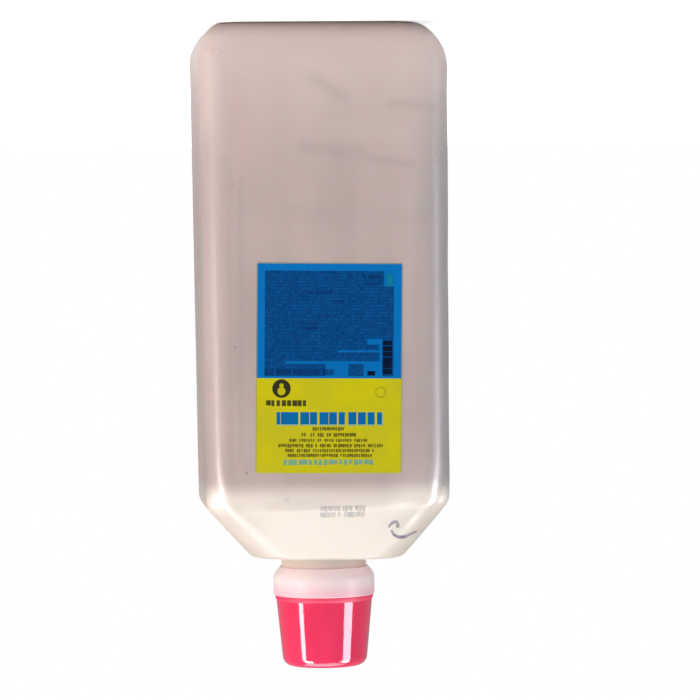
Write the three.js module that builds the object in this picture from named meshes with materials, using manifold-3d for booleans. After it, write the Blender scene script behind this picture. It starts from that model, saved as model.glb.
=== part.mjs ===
// Hand soap refill pack: a soft blow-moulded bottle for a wall dispenser, full and closed.
// It stands on its flat base with the closure up. Millimetres, +Z up, label side towards -Y.
// The origin is the centre of the base, in the plane it stands on.

import * as THREE from "three";
import { mergeVertices } from "three/addons/utils/BufferGeometryUtils.js";
import Module from "manifold-3d";

// Bottle body: a tall box with rounded corners, a little wider near the base than at the shoulder.
// The base edge is a quarter of an ellipse at a fullness of 2, and flatter below that.
const bodyWidthLow = 115.4;
const bodyWidthHigh = 112.8;
const bodyDepth = 85;
const cornerRadius = 12;
const baseEdgeInset = 14;
const baseEdgeRise = 19;
const baseEdgeFullness = 1.6;

// Shoulder: from the height where the walls would break, in to a short flat top around the neck.
const shoulderBreakHeight = 221;
const shoulderRise = 25.8;
const shoulderTopWidth = 66.6;
const shoulderTopDepth = 46.5;
const shoulderLowerRound = 9;
const shoulderUpperRound = 5;
const shoulderTopCornerRadius = 19;

// Neck: a short tube end with a catch bead that the collar snaps under.
const neckRadius = 19.7;
const neckShowing = 5.2;
const neckAboveBead = 3.1;
const neckRootDepth = 8;
const beadProjection = 1.3;
const beadLength = 2.7;
const beadSlope = 0.8;

// Collar: snapped over the neck for good, with an upstand for the cap and an outlet spout.
const collarSkirtWall = 2.2;
const collarDeckThickness = 2.5;
const collarChamferWidth = 3;
const collarChamferRise = 3.7;
const collarEdgeRound = 0.6;
const catchLipLength = 3.6;
const upstandWall = 1.4;
const upstandHeight = 4.5;
const upstandEdge = 0.4;
const spoutRadius = 11.3;
const spoutWall = 1.8;
const spoutHeight = 14;
const spoutEdge = 0.5;

// Neck seal: a flat soft washer between the neck's rim and the collar's deck.
const sealThickness = 1;
const sealBoreRadius = 7.5;

// Outlet valve: one silicone moulding with a clamped flange, a sleeve and a dished head with a cross slit.
const valveFlangeWidth = 3.5;
const valveFlangeThickness = 1;
const valveWall = 0.8;
const valveHeadRise = 5.6;
const valveDish = 1.6;
const valveRimRound = 0.7;
const slitLength = 8;
const slitWidth = 0.3;

// Cap: a smooth pull-off cover that tapers away from a small rim.
const capHeight = 33.2;
const capRimSetback = 0.7;
const capRimHeight = 2;
const capRimStep = 0.45;
const capTaper = 2.6;
const capEndRound = 4.6;
const capRoof = 1.5;
const capWall = 1.4;
const capInnerRound = 3.2;
const capSeatExtra = 0.8;

// Front label: a thin printed film stuck flat on the front panel, blue field over yellow.
const labelWidth = 66.8;
const labelHeight = 95.8;
const labelThickness = 0.2;
const labelBelowBreak = 14.9;
const labelCornerRadius = 1;

// Clearance between pieces that slide, plug or snap into each other.
const fitGap = 0.3;

// Fineness of the round shapes.
const cornerSteps = 8;
const baseEdgeSteps = 9;
const roundSteps = 5;
const arcSteps = 4;
const turnSegments = 64;
const valveSegments = 48;
const mergeTolerance = 1e-4;

// Heights that follow from the sizes above, from the shoulder up.
const shoulderTop = shoulderBreakHeight + shoulderRise;
const collarStart = shoulderTop + neckShowing;
const catchTop = collarStart + catchLipLength;
const beadUnderside = catchTop + fitGap;
const beadTop = beadUnderside + beadLength;
const neckRim = beadTop + neckAboveBead;
const deckUnderside = neckRim + sealThickness;
const deckTop = deckUnderside + collarDeckThickness;

// Radii that follow, from the neck outwards and from the spout inwards.
const beadRadius = neckRadius + beadProjection;
const skirtBore = beadRadius + fitGap;
const collarRadius = skirtBore + collarSkirtWall;
const capRimRadius = collarRadius - capRimSetback;
const capWallRadius = capRimRadius - capRimStep;
const capEndRadius = capWallRadius - capTaper;
const capSeatHeight = upstandHeight + capSeatExtra;
const capDrawPerHeight = capTaper / (capHeight - capEndRound - capRimHeight);
const capBore = capWallRadius - capDrawPerHeight * (capSeatHeight - capRimHeight) - capWall;
const upstandRadius = capBore - fitGap;
const spoutBore = spoutRadius - spoutWall;
const valveFlangeRadius = spoutBore + valveFlangeWidth;
const valveFlangeTop = deckUnderside + valveFlangeThickness;

const wasm = await Module();
wasm.setup();

// A closed geometry as a solid that can be joined and cut.
function solidOf(geometry) {
  const bare = geometry.index ? geometry.toNonIndexed() : geometry.clone();
  bare.deleteAttribute("normal");
  bare.deleteAttribute("uv");
  const merged = mergeVertices(bare, mergeTolerance);
  const corners = merged.index.array;
  const triangles = [];
  for (let i = 0; i < corners.length; i += 3) {
    const [a, b, c] = [corners[i], corners[i + 1], corners[i + 2]];
    if (a !== b && b !== c && c !== a) triangles.push(a, b, c);
  }
  return new wasm.Manifold(
    new wasm.Mesh({
      numProp: 3,
      vertProperties: merged.attributes.position.array,
      triVerts: new Uint32Array(triangles),
    }),
  );
}

// A solid back as a geometry with flat faces.
function geometryOf(solid) {
  const mesh = solid.getMesh();
  const geometry = new THREE.BufferGeometry();
  geometry.setAttribute("position", new THREE.BufferAttribute(mesh.vertProperties, 3));
  geometry.setIndex(new THREE.BufferAttribute(mesh.triVerts, 1));
  const faceted = geometry.toNonIndexed();
  faceted.computeVertexNormals();
  return faceted;
}

// A profile of [radius, height] points turned about the Z axis.
function turned(profile, segments) {
  const points = profile.map(([radius, height]) => new THREE.Vector2(radius, height));
  const geometry = new THREE.LatheGeometry(points, segments);
  geometry.rotateX(Math.PI / 2);
  return geometry;
}

// Points along a circular arc between two angles in degrees, both ends included.
function arc(centreAcross, centreUp, radius, fromDeg, toDeg, steps) {
  const points = [];
  for (let i = 0; i <= steps; i++) {
    const angle = THREE.MathUtils.degToRad(fromDeg + ((toDeg - fromDeg) * i) / steps);
    points.push([centreAcross + radius * Math.cos(angle), centreUp + radius * Math.sin(angle)]);
  }
  return points;
}

// The outline of a rectangle with rounded corners, counter-clockwise seen from above.
function roundedSection(halfWidth, halfDepth, radius) {
  const corners = [
    [halfWidth - radius, halfDepth - radius, 0],
    [radius - halfWidth, halfDepth - radius, 90],
    [radius - halfWidth, radius - halfDepth, 180],
    [halfWidth - radius, radius - halfDepth, 270],
  ];
  return corners.flatMap(([x, y, startDeg]) => arc(x, y, radius, startDeg, startDeg + 90, cornerSteps));
}

// A closed skin through sections of equal point count, each { height, outline }, from low to high.
function lofted(sections) {
  const count = sections[0].outline.length;
  const positions = [];
  for (const { height, outline } of sections) {
    for (const [x, y] of outline) positions.push(x, y, height);
  }
  const lowCentre = sections.length * count;
  const highCentre = lowCentre + 1;
  positions.push(0, 0, sections[0].height);
  positions.push(0, 0, sections[sections.length - 1].height);

  const faces = [];
  for (let level = 0; level < sections.length - 1; level++) {
    for (let i = 0; i < count; i++) {
      const a = level * count + i;
      const b = level * count + ((i + 1) % count);
      const c = a + count;
      const d = b + count;
      faces.push(a, b, d, a, d, c);
    }
  }
  const topRow = (sections.length - 1) * count;
  for (let i = 0; i < count; i++) {
    const next = (i + 1) % count;
    faces.push(lowCentre, next, i);
    faces.push(highCentre, topRow + i, topRow + next);
  }
  const geometry = new THREE.BufferGeometry();
  geometry.setAttribute("position", new THREE.Float32BufferAttribute(positions, 3));
  geometry.setIndex(faces);
  return geometry;
}

// The shoulder's profile as [inset, height] points: round, straight slope, round into the flat top.
function shoulderProfile() {
  const insetOfCorner = (bodyWidthHigh - shoulderTopWidth) / 2;
  const slope = Math.atan2(insetOfCorner, shoulderRise);
  const lowerStart = shoulderBreakHeight - shoulderLowerRound * Math.tan(slope / 2);
  const upperCentre = insetOfCorner + shoulderUpperRound * Math.tan((Math.PI / 2 - slope) / 2);
  const slopeDeg = THREE.MathUtils.radToDeg(slope);
  const lower = arc(shoulderLowerRound, lowerStart, shoulderLowerRound, 180, 180 - slopeDeg, roundSteps);
  const upper = arc(
    upperCentre,
    shoulderTop - shoulderUpperRound,
    shoulderUpperRound,
    180 - slopeDeg,
    90,
    roundSteps,
  );
  return [...lower, ...upper];
}

// The bottle's walls and shoulder as sections: base edge, tapering wall, then the shoulder's profile.
function bodySections() {
  const sections = [];
  for (let step = 0; step <= baseEdgeSteps; step++) {
    const angle = ((Math.PI / 2) * step) / baseEdgeSteps;
    const height = baseEdgeRise * (1 - Math.cos(angle) ** (2 / baseEdgeFullness));
    const inset = baseEdgeInset * (1 - Math.sin(angle) ** (2 / baseEdgeFullness));
    const outline = roundedSection(bodyWidthLow / 2 - inset, bodyDepth / 2 - inset, cornerRadius);
    sections.push({ height, outline });
  }
  const depthShare = (bodyDepth - shoulderTopDepth) / (bodyWidthHigh - shoulderTopWidth);
  const profile = shoulderProfile();
  const fullInset = profile[profile.length - 1][0];
  for (const [inset, height] of profile) {
    const halfWidth = bodyWidthHigh / 2 - inset;
    const halfDepth = bodyDepth / 2 - inset * depthShare;
    const radius = THREE.MathUtils.lerp(cornerRadius, shoulderTopCornerRadius, inset / fullInset);
    sections.push({ height, outline: roundedSection(halfWidth, halfDepth, radius) });
  }
  return sections;
}

// Bottle with its contents: one closed and filled pack, so one solid.
function bottleGeometry() {
  const neck = turned(
    [
      [0, shoulderTop - neckRootDepth],
      [neckRadius, shoulderTop - neckRootDepth],
      [neckRadius, beadUnderside],
      [beadRadius, beadUnderside + beadSlope / 2],
      [beadRadius, beadTop - beadSlope],
      [neckRadius, beadTop],
      [neckRadius, neckRim],
      [0, neckRim],
    ],
    turnSegments,
  );
  return geometryOf(solidOf(lofted(bodySections())).add(solidOf(neck)));
}

// Neck seal: a flat washer on the rim, under the valve's flange and the collar's deck.
function sealGeometry() {
  return turned(
    [
      [sealBoreRadius, neckRim],
      [neckRadius, neckRim],
      [neckRadius, deckUnderside],
      [sealBoreRadius, deckUnderside],
      [sealBoreRadius, neckRim],
    ],
    turnSegments,
  );
}

// Collar: skirt with a catch lip, deck with a pocket for the valve's flange, upstand and spout.
function collarGeometry() {
  const lipRadius = neckRadius + fitGap;
  const pocketRadius = valveFlangeRadius + fitGap;
  const upstandTop = deckTop + upstandHeight;
  const spoutTop = deckTop + spoutHeight;
  return turned(
    [
      [lipRadius, collarStart],
      [collarRadius - collarChamferWidth, collarStart],
      [collarRadius, collarStart + collarChamferRise],
      [collarRadius, deckTop - collarEdgeRound],
      [collarRadius - collarEdgeRound, deckTop],
      [upstandRadius, deckTop],
      [upstandRadius, upstandTop - upstandEdge],
      [upstandRadius - upstandEdge, upstandTop],
      [upstandRadius - upstandWall, upstandTop],
      [upstandRadius - upstandWall, deckTop],
      [spoutRadius, deckTop],
      [spoutRadius, spoutTop - spoutEdge],
      [spoutRadius - spoutEdge, spoutTop],
      [spoutBore, spoutTop],
      [spoutBore, valveFlangeTop],
      [pocketRadius, valveFlangeTop],
      [pocketRadius, deckUnderside],
      [skirtBore, deckUnderside],
      [skirtBore, catchTop],
      [lipRadius, catchTop - beadSlope / 2],
      [lipRadius, collarStart],
    ],
    turnSegments,
  );
}

// A shallow dish from its middle on the axis out to its edge, as [radius, height] points.
function dishCurve(edgeRadius, edgeHeight) {
  const points = [];
  for (let i = 0; i <= arcSteps; i++) {
    const share = i / arcSteps;
    points.push([edgeRadius * share, edgeHeight - valveDish * (1 - share ** 2)]);
  }
  return points;
}

// Outlet valve: flange, sleeve and a head dished inwards, cut through by a cross slit.
function valveGeometry() {
  const sleeve = spoutBore - fitGap;
  const sleeveBore = sleeve - valveWall;
  const headTop = valveFlangeTop + valveHeadRise;
  const headUnderside = headTop - valveWall;
  const dishEdge = sleeve - valveRimRound;
  const body = turned(
    [
      ...dishCurve(dishEdge - valveWall, headUnderside),
      [sleeveBore, headUnderside - valveRimRound],
      [sleeveBore, deckUnderside],
      [valveFlangeRadius, deckUnderside],
      [valveFlangeRadius, valveFlangeTop],
      [sleeve, valveFlangeTop],
      ...arc(dishEdge, headTop - valveRimRound, valveRimRound, 0, 60, arcSteps),
      ...dishCurve(dishEdge, headTop).reverse(),
    ],
    valveSegments,
  );
  const slitDepth = 2 * (valveWall + valveDish);
  let solid = solidOf(body);
  for (const turn of [0, Math.PI / 2]) {
    const blade = new THREE.BoxGeometry(slitLength, slitWidth, slitDepth);
    blade.rotateZ(turn);
    blade.translate(0, 0, headTop - valveDish);
    solid = solid.subtract(solidOf(blade));
  }
  return geometryOf(solid);
}

// Cap: a hollow tapered cover that pushes over the collar's upstand and rests on the deck.
function capGeometry() {
  const end = deckTop + capHeight;
  const rimTop = deckTop + capRimHeight;
  const roofUnderside = end - capRoof;
  const innerEndRadius = capEndRadius - capWall;
  return turned(
    [
      [capBore, deckTop],
      [capRimRadius, deckTop],
      [capRimRadius, rimTop - capRimStep],
      [capWallRadius, rimTop],
      ...arc(capEndRadius - capEndRound, end - capEndRound, capEndRound, 0, 90, roundSteps),
      [0, end],
      [0, roofUnderside],
      ...arc(
        innerEndRadius - capInnerRound,
        roofUnderside - capInnerRound,
        capInnerRound,
        90,
        0,
        arcSteps,
      ),
      [capBore, deckTop + capSeatHeight],
      [capBore, deckTop],
    ],
    turnSegments,
  );
}

// Front label: a thin plate with small corner rounds, its back face on the panel.
function labelGeometry() {
  const across = labelWidth / 2 - labelCornerRadius;
  const up = labelHeight / 2 - labelCornerRadius;
  const outline = new THREE.Shape();
  outline.absarc(across, up, labelCornerRadius, 0, Math.PI / 2);
  outline.absarc(-across, up, labelCornerRadius, Math.PI / 2, Math.PI);
  outline.absarc(-across, -up, labelCornerRadius, Math.PI, (3 * Math.PI) / 2);
  outline.absarc(across, -up, labelCornerRadius, (3 * Math.PI) / 2, 2 * Math.PI);
  const geometry = new THREE.ExtrudeGeometry(outline, {
    depth: labelThickness,
    bevelEnabled: false,
    curveSegments: arcSteps,
  });
  geometry.rotateX(Math.PI / 2);
  return geometry;
}

// A named mesh with its own plain material.
function piece(name, geometry, color, roughness, opacity = 1) {
  const material = new THREE.MeshStandardMaterial({
    color,
    roughness,
    metalness: 0,
    opacity,
    transparent: opacity < 1,
  });
  const mesh = new THREE.Mesh(geometry, material);
  mesh.name = name;
  return mesh;
}

const pack = new THREE.Group();
pack.add(piece("bottle", bottleGeometry(), "#d6c3ba", 0.38));

const label = piece("front_label", labelGeometry(), "#0a63a4", 0.45);
label.position.set(0, -bodyDepth / 2, shoulderBreakHeight - labelBelowBreak - labelHeight / 2);
pack.add(label);

const closure = new THREE.Group();
closure.add(piece("neck_seal", sealGeometry(), "#e8e6e0", 0.8));
closure.add(piece("outlet_valve", valveGeometry(), "#e6e2dc", 0.45));
closure.add(piece("collar", collarGeometry(), "#f3e4e2", 0.3, 0.8));
closure.add(piece("cap", capGeometry(), "#e5344f", 0.15));
pack.add(closure);

export default pack;
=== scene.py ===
"""The looks of a hand soap refill pack: milky soft bottle, printed label, translucent collar, red cap."""

import math

import bpy
import numpy as np
from mathutils import Matrix, Vector, noise
from mathutils.bvhtree import BVHTree


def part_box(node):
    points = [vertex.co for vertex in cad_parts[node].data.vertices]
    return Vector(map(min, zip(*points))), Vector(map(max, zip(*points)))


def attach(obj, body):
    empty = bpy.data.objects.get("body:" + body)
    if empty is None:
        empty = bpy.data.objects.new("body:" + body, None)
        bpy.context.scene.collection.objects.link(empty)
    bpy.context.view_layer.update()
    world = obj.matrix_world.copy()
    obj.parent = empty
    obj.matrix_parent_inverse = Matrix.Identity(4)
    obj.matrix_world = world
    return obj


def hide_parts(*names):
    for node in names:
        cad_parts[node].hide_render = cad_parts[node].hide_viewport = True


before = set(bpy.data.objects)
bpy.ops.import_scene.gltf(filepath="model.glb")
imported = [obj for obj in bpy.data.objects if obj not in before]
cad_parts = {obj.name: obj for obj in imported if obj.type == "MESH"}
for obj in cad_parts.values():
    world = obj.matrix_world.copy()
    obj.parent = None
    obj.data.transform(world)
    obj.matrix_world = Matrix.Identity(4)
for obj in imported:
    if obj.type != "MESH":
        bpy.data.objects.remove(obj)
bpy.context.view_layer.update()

MM = 0.001


# Sizes read from the frame

bottle_low, bottle_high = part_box("bottle")
collar_low, collar_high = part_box("collar")
cap_low, cap_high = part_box("cap")
label_low, label_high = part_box("front_label")
seal_low, seal_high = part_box("neck_seal")
valve_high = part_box("outlet_valve")[1]

BODY_WIDTH_LOW = bottle_high[0] - bottle_low[0]
BODY_DEPTH = bottle_high[1] - bottle_low[1]
NECK_RIM = bottle_high[2]
DECK_TOP = cap_low[2]
CAP_RIM_RADIUS = (cap_high[0] - cap_low[0]) / 2
CAP_END = cap_high[2]
COLLAR_RADIUS = (collar_high[0] - collar_low[0]) / 2
COLLAR_START = collar_low[2]
SPOUT_TOP = collar_high[2]
NECK_RADIUS = (seal_high[0] - seal_low[0]) / 2
DECK_UNDERSIDE = seal_high[2]
VALVE_TOP = valve_high[2]
PACK_HEIGHT = cap_high[2]
LABEL_CENTRE = ((label_low[0] + label_high[0]) / 2, (label_low[2] + label_high[2]) / 2)
LABEL_HALF = ((label_high[0] - label_low[0]) / 2, (label_high[2] - label_low[2]) / 2)


# Sizes of the bottle's own form

BODY_WIDTH_HIGH = 112.8 * MM
CORNER_RADIUS = 12 * MM
SHOULDER_TOP = 246.8 * MM
SHOULDER_TOP_DEPTH = 46.5 * MM
SHOULDER_LOWER_ROUND = 9 * MM
SHOULDER_UPPER_ROUND = 5 * MM
SHOULDER_TOP_CORNER = 19 * MM
NECK_ROOT_ROUND = 1.2 * MM
BEAD_PROJECTION = 1.3 * MM
BEAD_ABOVE_COLLAR_START = 3.9 * MM
BEAD_LENGTH = 2.7 * MM
BEAD_SLOPE = 0.8 * MM
BASE_RECESS = 0.8 * MM
PINCH_HEIGHT = 0.6 * MM
PINCH_WIDTH = 0.9 * MM

# The soft bottle isn't the same on both sides: the side towards +X stands firm, the other has given way.
# Each side has its base edge's inset, rise and fullness, then its shoulder's break, top half width and lift.
FIRM_SIDE = (10.8 * MM, 14.5 * MM, 1.5, 221.9 * MM, 33.9 * MM, -0.2 * MM)
SLACK_SIDE = (16.0 * MM, 22.5 * MM, 1.85, 220.4 * MM, 35.9 * MM, 1.2 * MM)

SKIN_SLACK = 0.05 * MM
PANEL_BOW = 0.25 * MM
RIPPLE_DEPTH = 0.28 * MM
RIPPLE_WAVELENGTH = 46 * MM
FIRM_SHARE = 0.3
SLACK_SHARE = 1.7
SHOULDER_CORNER_CUT = 3.2 * MM
SHOULDER_CORNER_REACH = 12 * MM
SHOULDER_CORNER_START = 20 * MM
SEAM_HEIGHT = 0.12 * MM
SEAM_WIDTH = 0.5 * MM

CORNER_STEPS = 20
WIDE_SIDE_STEPS = 64
NARROW_SIDE_STEPS = 40
TURN_STEPS = 160


# Camera at the photograph's viewing angle

PHOTO_PIXELS = 700
PICTURE_WIDTH = 326.1 * MM
CAMERA_DISTANCE = 1.8
CAMERA_HEIGHT = 91 * MM
CAMERA_TURN = math.radians(5.0)
CAMERA_ROLL = math.radians(0.75)
PACK_MIDDLE_PIXEL = (321.0, 345.0)
SENSOR = 36.0


def place_camera():
    """A low camera on the label side, turned about its own axis so that the neck is below."""
    per_pixel = PICTURE_WIDTH / PHOTO_PIXELS
    back = Vector((math.sin(CAMERA_TURN), -math.cos(CAMERA_TURN), 0))
    eye = back * CAMERA_DISTANCE + Vector((0, 0, CAMERA_HEIGHT))
    level = Vector((math.cos(CAMERA_TURN), math.sin(CAMERA_TURN), 0))
    across = (PHOTO_PIXELS / 2 - PACK_MIDDLE_PIXEL[0]) * per_pixel
    down = (PHOTO_PIXELS / 2 - PACK_MIDDLE_PIXEL[1]) * per_pixel
    target = Vector((0, 0, PACK_HEIGHT / 2 + down)) - level * across
    away = (eye - target).normalized()
    upward = away.cross(level).normalized()
    level = upward.cross(away)
    right = -level * math.cos(CAMERA_ROLL) + upward * math.sin(CAMERA_ROLL)
    up = -upward * math.cos(CAMERA_ROLL) - level * math.sin(CAMERA_ROLL)
    data = bpy.data.cameras.new("camera")
    data.sensor_width = SENSOR
    data.lens = SENSOR * CAMERA_DISTANCE / PICTURE_WIDTH
    camera = bpy.data.objects.new("camera", data)
    camera.matrix_world = Matrix.Translation(eye) @ Matrix((right, up, away)).transposed().to_4x4()
    bpy.context.scene.collection.objects.link(camera)
    bpy.context.scene.camera = camera
    return eye, right, up, away


CAMERA_EYE, PICTURE_RIGHT, PICTURE_UP, PICTURE_AWAY = place_camera()


def sight_line(pixel):
    """The direction in which the camera sees a pixel of the photograph's frame."""
    share = PICTURE_WIDTH / PHOTO_PIXELS / CAMERA_DISTANCE
    across = (pixel[0] - PHOTO_PIXELS / 2) * share
    up = (PHOTO_PIXELS / 2 - pixel[1]) * share
    return (PICTURE_RIGHT * across + PICTURE_UP * up - PICTURE_AWAY).normalized()


def front_spot(pixel):
    """The (x, z) place under a pixel in the plane of the front panel."""
    line = sight_line(pixel)
    reach = (-BODY_DEPTH / 2 - CAMERA_EYE.y) / line.y
    spot = CAMERA_EYE + line * reach
    return spot.x, spot.z


# Small geometry helpers

def arc(centre, radius, start_deg, end_deg, steps):
    """Points on a circular arc in a plane, both ends included."""
    angles = np.radians(np.linspace(start_deg, end_deg, steps + 1))
    return [(centre[0] + radius * math.cos(a), centre[1] + radius * math.sin(a)) for a in angles]


def between(a, b, share):
    return a + (b - a) * share


def eased(share):
    """A share from 0 to 1 with a soft start and end."""
    share = min(max(share, 0.0), 1.0)
    return share * share * (3 - 2 * share)


def make_piece(name, vertices, faces, body, stands_for=(), sharp_deg=None):
    """A smooth mesh object that rides on a body and may stand for frame nodes."""
    mesh = bpy.data.meshes.new(name)
    mesh.from_pydata([tuple(v) for v in vertices], [], faces)
    mesh.validate()
    mesh.update()
    mesh.polygons.foreach_set("use_smooth", [True] * len(mesh.polygons))
    if sharp_deg:
        mesh.set_sharp_from_angle(angle=math.radians(sharp_deg))
    piece = bpy.data.objects.new(name, mesh)
    bpy.context.scene.collection.objects.link(piece)
    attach(piece, body)
    if stands_for:
        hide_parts(*stands_for)
    return piece


def turned_mesh(profile, steps=TURN_STEPS):
    """Vertices and faces of a profile of (radius, height) turned about the Z axis."""
    rings = []
    vertices = []
    for radius, height in profile:
        if radius < 1e-7:
            rings.append([len(vertices)] * steps)
            vertices.append((0.0, 0.0, height))
            continue
        rings.append(list(range(len(vertices), len(vertices) + steps)))
        for k in range(steps):
            angle = 2 * math.pi * k / steps
            vertices.append((radius * math.cos(angle), radius * math.sin(angle), height))
    faces = []
    pairs = list(zip(rings, rings[1:]))
    starts_on_axis = rings[0][0] == rings[0][1]
    if not starts_on_axis:
        pairs.append((rings[-1], rings[0]))
    for lower, upper in pairs:
        for k in range(steps):
            n = (k + 1) % steps
            corners = list(dict.fromkeys([lower[k], lower[n], upper[n], upper[k]]))
            if len(corners) > 2:
                faces.append(corners)
    return vertices, faces


def softened(profile, radius, steps=5, hold=1.5):
    """A closed profile with each marked corner (r, z, share) rounded off and held on either side."""
    count = len(profile)
    points = []
    for i, corner in enumerate(profile):
        here = np.array(corner[:2])
        if len(corner) < 3:
            points.append(tuple(here))
            continue
        back = np.array(profile[i - 1][:2]) - here
        ahead = np.array(profile[(i + 1) % count][:2]) - here
        room = 0.45 * min(np.linalg.norm(back), np.linalg.norm(ahead))
        reach = min(radius * corner[2], room)
        back /= np.linalg.norm(back)
        ahead /= np.linalg.norm(ahead)
        start = here + back * reach
        end = here + ahead * reach
        outer = min(reach * hold, room)
        if outer > reach:
            points.append(tuple(here + back * outer))
        for t in np.linspace(0, 1, steps + 1):
            points.append(tuple((1 - t) ** 2 * start + 2 * t * (1 - t) * here + t ** 2 * end))
        if outer > reach:
            points.append(tuple(here + ahead * outer))
    return points


# Bottle

def rounded_outline(half_width, half_depth, radius):
    """Points and outward normals of a rounded rectangle, evenly fine on sides and corners."""
    points = []
    normals = []
    corners = [(1, 1, 0), (-1, 1, 90), (-1, -1, 180), (1, -1, 270)]
    side_steps = [WIDE_SIDE_STEPS, NARROW_SIDE_STEPS, WIDE_SIDE_STEPS, NARROW_SIDE_STEPS]
    for index, (sx, sy, start) in enumerate(corners):
        centre = (sx * (half_width - radius), sy * (half_depth - radius))
        ring = arc(centre, radius, start, start + 90, CORNER_STEPS)
        for k, point in enumerate(ring):
            angle = math.radians(start + 90 * k / CORNER_STEPS)
            points.append(point)
            normals.append((math.cos(angle), math.sin(angle)))
        nx, ny, next_start = corners[(index + 1) % 4]
        turn = math.radians(next_start)
        end = (
            nx * (half_width - radius) + radius * math.cos(turn),
            ny * (half_depth - radius) + radius * math.sin(turn),
        )
        steps = side_steps[index]
        for k in range(1, steps):
            share = k / steps
            points.append(tuple(between(ring[-1][i], end[i], share) for i in (0, 1)))
            normals.append(normals[-1])
    return np.array(points), np.array(normals)


def level_ring(height, half_width, half_depth, radius, give):
    """One ring of the skin: points with a height each, outward normals, and how much the wall gives."""
    points, normals = rounded_outline(half_width, half_depth, radius)
    return np.column_stack([points, np.full(len(points), height)]), normals, give


def joined_ring(slack, firm):
    """A ring that is the slack side's towards -X, the firm side's towards +X, with an easy change."""
    share = np.array([eased(0.5 + x / BODY_WIDTH_HIGH) for x in (slack[0][:, 0] + firm[0][:, 0]) / 2])
    points = slack[0] + (firm[0] - slack[0]) * share[:, None]
    return points, slack[1], slack[2]


def base_edge_ring(side, angle):
    inset_full, rise, fullness = side[:3]
    height = rise * (1 - max(math.cos(angle), 0.0) ** (2 / fullness))
    inset = inset_full * (1 - math.sin(angle) ** (2 / fullness))
    half_depth = BODY_DEPTH / 2 - inset
    return level_ring(height, BODY_WIDTH_LOW / 2 - inset, half_depth, CORNER_RADIUS, math.sin(angle))


def shoulder_profile(side):
    """(inset, height) points from the wall over the slope to the edge of the flat top."""
    shoulder_break, top_half_width, lift = side[3:]
    top = SHOULDER_TOP + lift
    inset = BODY_WIDTH_HIGH / 2 - top_half_width
    slope = math.atan2(inset, top - shoulder_break)
    degrees = math.degrees(slope)
    lower_start = shoulder_break - SHOULDER_LOWER_ROUND * math.tan(slope / 2)
    upper_centre = inset + SHOULDER_UPPER_ROUND * math.tan((math.pi / 2 - slope) / 2)
    lower = arc((SHOULDER_LOWER_ROUND, lower_start), SHOULDER_LOWER_ROUND, 180, 180 - degrees, 10)
    upper = arc((upper_centre, top - SHOULDER_UPPER_ROUND), SHOULDER_UPPER_ROUND, 180 - degrees, 90, 8)
    slope_steps = 14
    slope_points = [
        tuple(between(lower[-1][i], upper[0][i], k / slope_steps) for i in (0, 1))
        for k in range(1, slope_steps)
    ]
    return lower + slope_points + upper


def shoulder_ring(profile, index):
    inset, height = profile[index]
    full_inset = profile[-1][0]
    share = inset / full_inset
    depth_inset = (BODY_DEPTH - SHOULDER_TOP_DEPTH) / 2 * share
    radius = between(CORNER_RADIUS, SHOULDER_TOP_CORNER, share)
    return level_ring(height, BODY_WIDTH_HIGH / 2 - inset, BODY_DEPTH / 2 - depth_inset, radius, 1 - share)


# Soft creases of the front panel: start and end pixel, width and depth
CREASE_PIXELS = (
    ((303, 147), (410, 163), 3.2 * MM, 0.70 * MM),
    ((310, 77), (350, 98), 4.0 * MM, 0.60 * MM),
    ((390, 103), (424, 106), 3.0 * MM, 0.40 * MM),
    ((232, 150), (234, 470), 2.6 * MM, 0.35 * MM),
    ((244, 190), (247, 300), 3.4 * MM, 0.16 * MM),
    ((424, 200), (421, 330), 3.0 * MM, 0.16 * MM),
)
CREASES = [(front_spot(a), front_spot(b), width, deep) for a, b, width, deep in CREASE_PIXELS]


def crease(x, z, start, end, width):
    """How close a point of the front panel lies to a soft crease between two (x, z) points, 0 to 1."""
    along_x = end[0] - start[0]
    along_z = end[1] - start[1]
    share = ((x - start[0]) * along_x + (z - start[1]) * along_z) / (along_x ** 2 + along_z ** 2)
    share = min(max(share, 0.0), 1.0)
    gap = math.hypot(x - start[0] - along_x * share, z - start[1] - along_z * share)
    return math.exp(-((gap / width) ** 2))


def dent(x, y, z):
    """How far the soft wall stands in from its mould at a point, in metres."""
    wall = eased((z - 8 * MM) / (26 * MM)) * eased((SHOULDER_TOP - 6 * MM - z) / (24 * MM))
    at = Vector((x, y * 1.3, z)) / RIPPLE_WAVELENGTH
    ripple = 0.5 + 0.5 * noise.noise(at) + 0.25 * noise.noise(at * 2.3 + Vector((7, 3, 1)))
    depth = SKIN_SLACK + RIPPLE_DEPTH * wall * min(max(ripple, 0.0), 1.2)
    share_x = min(abs(x) / (BODY_WIDTH_HIGH / 2 - CORNER_RADIUS), 1.0)
    share_y = min(abs(y) / (BODY_DEPTH / 2 - CORNER_RADIUS), 1.0)
    depth += PANEL_BOW * wall * (share_x ** 2 if share_y >= 1.0 else share_y ** 2)
    depth *= between(SLACK_SHARE, FIRM_SHARE, eased(0.5 + x / BODY_WIDTH_HIGH))
    if y < 0:
        for start, end, width, deep in CREASES:
            depth += deep * crease(x, z, start, end, width)
    return depth


# Share of the way out over the base, and how deep the recess is there
BASE_RECESS_STEPS = (
    (0.2, 1), (0.4, 1), (0.6, 1), (0.8, 1),
    (0.86, 0.8), (0.9, 0.2), (0.93, 0), (0.97, 0),
)


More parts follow.
